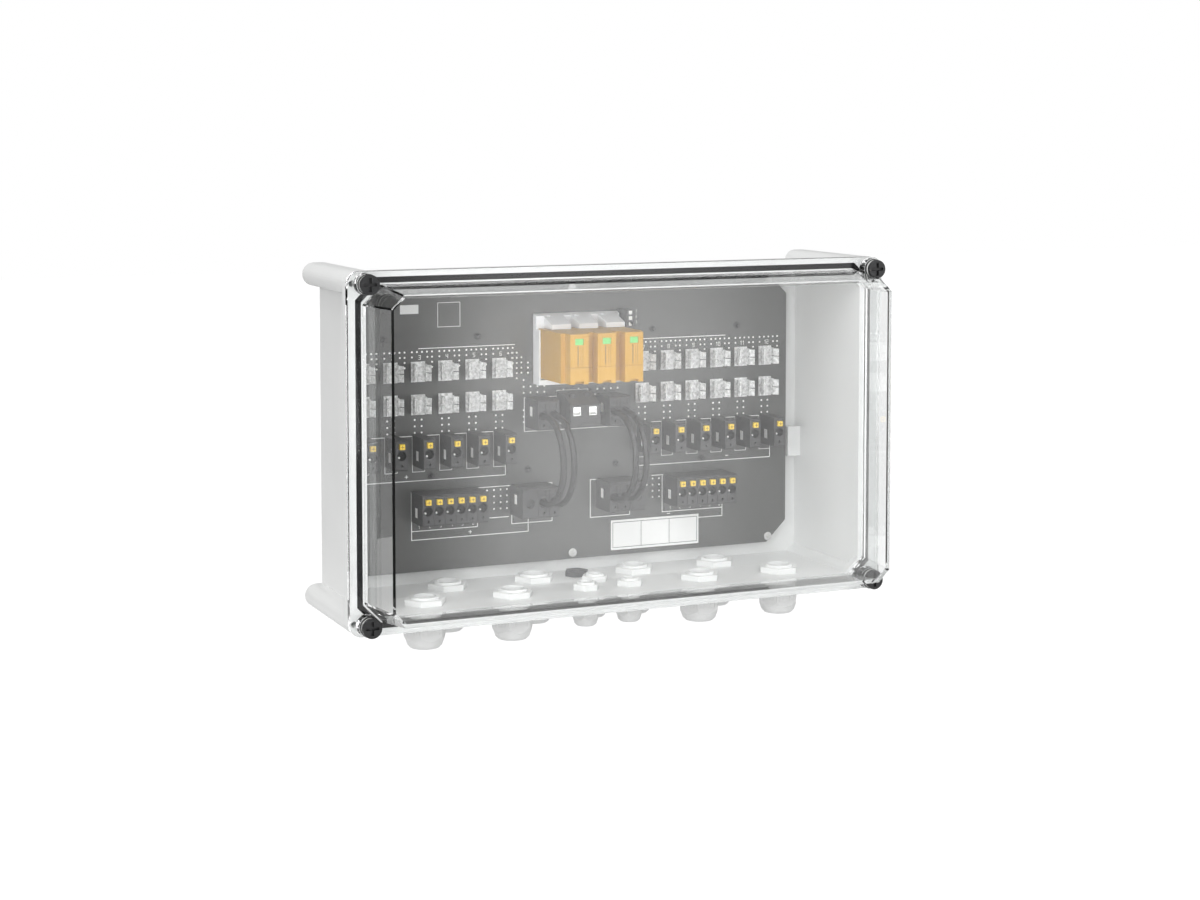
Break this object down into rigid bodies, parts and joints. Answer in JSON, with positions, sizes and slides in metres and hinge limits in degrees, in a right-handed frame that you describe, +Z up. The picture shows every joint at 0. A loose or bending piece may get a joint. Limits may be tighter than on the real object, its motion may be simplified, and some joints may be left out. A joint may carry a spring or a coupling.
{
  "type": "dc combiner box",
  "caption": "Wall-mounted solar combiner box: grey base with cable glands, clear lift-off cover, circuit board with fuse clips, push-in terminals and plug-in surge protection.",
  "frame": {"origin": "centre of the wall screw pattern on the back face", "axes": "+X to the right as seen from the front, +Y into the wall, +Z up"},
  "size_m": [0.5, 0.18, 0.324],
  "materials": {
    "grey_housing": "fine moulded grain",
    "clear_cover": "clear polycarbonate",
    "gasket_rubber": "matt",
    "screw_black": "satin",
    "board_laminate": "black solder mask",
    "steel": "zinc plated",
    "tinned_copper": "bright tin",
    "white_plastic": "satin",
    "module_orange": "satin",
    "flag_green": "gloss",
    "terminal_black": "satin",
    "button_orange": "satin",
    "wire_jacket": "satin",
    "gland_grey": "satin",
    "vent_dark": "matt"
  },
  "bodies": {
    "enclosure": {"enclosure_base": "grey_housing", "cover_gasket": "gasket_rubber", "circuit_board": "board_laminate", "board_screws": "steel", "surge_base": "white_plastic", "alarm_header": "terminal_black", "fuse_clips": "tinned_copper", "input_terminals_positive": "terminal_black", "input_terminals_negative": "terminal_black", "output_terminal_positive": "terminal_black", "output_terminal_negative": "terminal_black", "earth_terminal": "terminal_black", "earth_clamps": "steel", "earth_screws": "steel", "link_terminal_top_left": "terminal_black", "link_terminal_top_right": "terminal_black", "link_terminal_bottom_left": "terminal_black", "link_terminal_bottom_right": "terminal_black", "link_wires": "wire_jacket", "gland_bodies": "gland_grey", "gland_dome_nuts": "gland_grey", "gland_locknuts": "gland_grey", "gland_seals": "gasket_rubber", "vent_plug": "vent_dark", "vent_locknut": "vent_dark"},
    "clear_cover": {"cover": "clear_cover"},
    "screw_top_left": {"cover_screw_top_left": "screw_black"},
    "screw_top_right": {"cover_screw_top_right": "screw_black"},
    "screw_bottom_left": {"cover_screw_bottom_left": "screw_black"},
    "screw_bottom_right": {"cover_screw_bottom_right": "screw_black"},
    "surge_plug_left": {"surge_module_left": "module_orange"},
    "surge_plug_middle": {"surge_module_middle": "module_orange"},
    "surge_plug_right": {"surge_module_right": "module_orange"},
    "flag_left": {"status_flag_left": "flag_green"},
    "flag_middle": {"status_flag_middle": "flag_green"},
    "flag_right": {"status_flag_right": "flag_green"},
    "input_release_1": {"input_button_1": "button_orange"},
    "input_release_2": {"input_button_2": "button_orange"},
    "input_release_3": {"input_button_3": "button_orange"},
    "input_release_4": {"input_button_4": "button_orange"},
    "input_release_5": {"input_button_5": "button_orange"},
    "input_release_6": {"input_button_6": "button_orange"},
    "input_release_7": {"input_button_7": "button_orange"},
    "input_release_8": {"input_button_8": "button_orange"},
    "input_release_9": {"input_button_9": "button_orange"},
    "input_release_10": {"input_button_10": "button_orange"},
    "input_release_11": {"input_button_11": "button_orange"},
    "input_release_12": {"input_button_12": "button_orange"},
    "output_release_1": {"output_button_1": "button_orange"},
    "output_release_2": {"output_button_2": "button_orange"},
    "output_release_3": {"output_button_3": "button_orange"},
    "output_release_4": {"output_button_4": "button_orange"},
    "output_release_5": {"output_button_5": "button_orange"},
    "output_release_6": {"output_button_6": "button_orange"},
    "output_release_7": {"output_button_7": "button_orange"},
    "output_release_8": {"output_button_8": "button_orange"},
    "output_release_9": {"output_button_9": "button_orange"},
    "output_release_10": {"output_button_10": "button_orange"},
    "output_release_11": {"output_button_11": "button_orange"},
    "output_release_12": {"output_button_12": "button_orange"}
  },
  "joints": [
    {"name": "cover_lift", "type": "slide", "parent": "enclosure", "child": "clear_cover", "axis": [0, -1, 0], "range_m": [0, 0.15]},
    {"name": "screw_top_left_turn", "type": "hinge", "parent": "clear_cover", "child": "screw_top_left", "pos_m": [-0.236, -0.14, 0.14], "axis": [0, -1, 0], "range_deg": [0, 90]},
    {"name": "screw_top_right_turn", "type": "hinge", "parent": "clear_cover", "child": "screw_top_right", "pos_m": [0.236, -0.14, 0.14], "axis": [0, -1, 0], "range_deg": [0, 90]},
    {"name": "screw_bottom_left_turn", "type": "hinge", "parent": "clear_cover", "child": "screw_bottom_left", "pos_m": [-0.236, -0.14, -0.14], "axis": [0, -1, 0], "range_deg": [0, 90]},
    {"name": "screw_bottom_right_turn", "type": "hinge", "parent": "clear_cover", "child": "screw_bottom_right", "pos_m": [0.236, -0.14, -0.14], "axis": [0, -1, 0], "range_deg": [0, 90]},
    {"name": "surge_plug_left_pull", "type": "slide", "parent": "enclosure", "child": "surge_plug_left", "axis": [0, -1, 0], "range_m": [0, 0.06]},
    {"name": "surge_plug_middle_pull", "type": "slide", "parent": "enclosure", "child": "surge_plug_middle", "axis": [0, -1, 0], "range_m": [0, 0.06]},
    {"name": "surge_plug_right_pull", "type": "slide", "parent": "enclosure", "child": "surge_plug_right", "axis": [0, -1, 0], "range_m": [0, 0.06]},
    {"name": "flag_left_drop", "type": "slide", "parent": "surge_plug_left", "child": "flag_left", "axis": [0, 0, -1], "range_m": [0, 0.006]},
    {"name": "flag_middle_drop", "type": "slide", "parent": "surge_plug_middle", "child": "flag_middle", "axis": [0, 0, -1], "range_m": [0, 0.006]},
    {"name": "flag_right_drop", "type": "slide", "parent": "surge_plug_right", "child": "flag_right", "axis": [0, 0, -1], "range_m": [0, 0.006]},
    {"name": "input_release_1_press", "type": "slide", "parent": "enclosure", "child": "input_release_1", "axis": [0, 1, 0], "range_m": [0, 0.002], "stiffness_N_per_m": 3000},
    {"name": "input_release_2_press", "type": "slide", "parent": "enclosure", "child": "input_release_2", "axis": [0, 1, 0], "range_m": [0, 0.002], "stiffness_N_per_m": 3000},
    {"name": "input_release_3_press", "type": "slide", "parent": "enclosure", "child": "input_release_3", "axis": [0, 1, 0], "range_m": [0, 0.002], "stiffness_N_per_m": 3000},
    {"name": "input_release_4_press", "type": "slide", "parent": "enclosure", "child": "input_release_4", "axis": [0, 1, 0], "range_m": [0, 0.002], "stiffness_N_per_m": 3000},
    {"name": "input_release_5_press", "type": "slide", "parent": "enclosure", "child": "input_release_5", "axis": [0, 1, 0], "range_m": [0, 0.002], "stiffness_N_per_m": 3000},
    {"name": "input_release_6_press", "type": "slide", "parent": "enclosure", "child": "input_release_6", "axis": [0, 1, 0], "range_m": [0, 0.002], "stiffness_N_per_m": 3000},
    {"name": "input_release_7_press", "type": "slide", "parent": "enclosure", "child": "input_release_7", "axis": [0, 1, 0], "range_m": [0, 0.002], "stiffness_N_per_m": 3000},
    {"name": "input_release_8_press", "type": "slide", "parent": "enclosure", "child": "input_release_8", "axis": [0, 1, 0], "range_m": [0, 0.002], "stiffness_N_per_m": 3000},
    {"name": "input_release_9_press", "type": "slide", "parent": "enclosure", "child": "input_release_9", "axis": [0, 1, 0], "range_m": [0, 0.002], "stiffness_N_per_m": 3000},
    {"name": "input_release_10_press", "type": "slide", "parent": "enclosure", "child": "input_release_10", "axis": [0, 1, 0], "range_m": [0, 0.002], "stiffness_N_per_m": 3000},
    {"name": "input_release_11_press", "type": "slide", "parent": "enclosure", "child": "input_release_11", "axis": [0, 1, 0], "range_m": [0, 0.002], "stiffness_N_per_m": 3000},
    {"name": "input_release_12_press", "type": "slide", "parent": "enclosure", "child": "input_release_12", "axis": [0, 1, 0], "range_m": [0, 0.002], "stiffness_N_per_m": 3000},
    {"name": "output_release_1_press", "type": "slide", "parent": "enclosure", "child": "output_release_1", "axis": [0, 1, 0], "range_m": [0, 0.002], "stiffness_N_per_m": 3000},
    {"name": "output_release_2_press", "type": "slide", "parent": "enclosure", "child": "output_release_2", "axis": [0, 1, 0], "range_m": [0, 0.002], "stiffness_N_per_m": 3000},
    {"name": "output_release_3_press", "type": "slide", "parent": "enclosure", "child": "output_release_3", "axis": [0, 1, 0], "range_m": [0, 0.002], "stiffness_N_per_m": 3000},
    {"name": "output_release_4_press", "type": "slide", "parent": "enclosure", "child": "output_release_4", "axis": [0, 1, 0], "range_m": [0, 0.002], "stiffness_N_per_m": 3000},
    {"name": "output_release_5_press", "type": "slide", "parent": "enclosure", "child": "output_release_5", "axis": [0, 1, 0], "range_m": [0, 0.002], "stiffness_N_per_m": 3000},
    {"name": "output_release_6_press", "type": "slide", "parent": "enclosure", "child": "output_release_6", "axis": [0, 1, 0], "range_m": [0, 0.002], "stiffness_N_per_m": 3000},
    {"name": "output_release_7_press", "type": "slide", "parent": "enclosure", "child": "output_release_7", "axis": [0, 1, 0], "range_m": [0, 0.002], "stiffness_N_per_m": 3000},
    {"name": "output_release_8_press", "type": "slide", "parent": "enclosure", "child": "output_release_8", "axis": [0, 1, 0], "range_m": [0, 0.002], "stiffness_N_per_m": 3000},
    {"name": "output_release_9_press", "type": "slide", "parent": "enclosure", "child": "output_release_9", "axis": [0, 1, 0], "range_m": [0, 0.002], "stiffness_N_per_m": 3000},
    {"name": "output_release_10_press", "type": "slide", "parent": "enclosure", "child": "output_release_10", "axis": [0, 1, 0], "range_m": [0, 0.002], "stiffness_N_per_m": 3000},
    {"name": "output_release_11_press", "type": "slide", "parent": "enclosure", "child": "output_release_11", "axis": [0, 1, 0], "range_m": [0, 0.002], "stiffness_N_per_m": 3000},
    {"name": "output_release_12_press", "type": "slide", "parent": "enclosure", "child": "output_release_12", "axis": [0, 1, 0], "range_m": [0, 0.002], "stiffness_N_per_m": 3000}
  ]
}
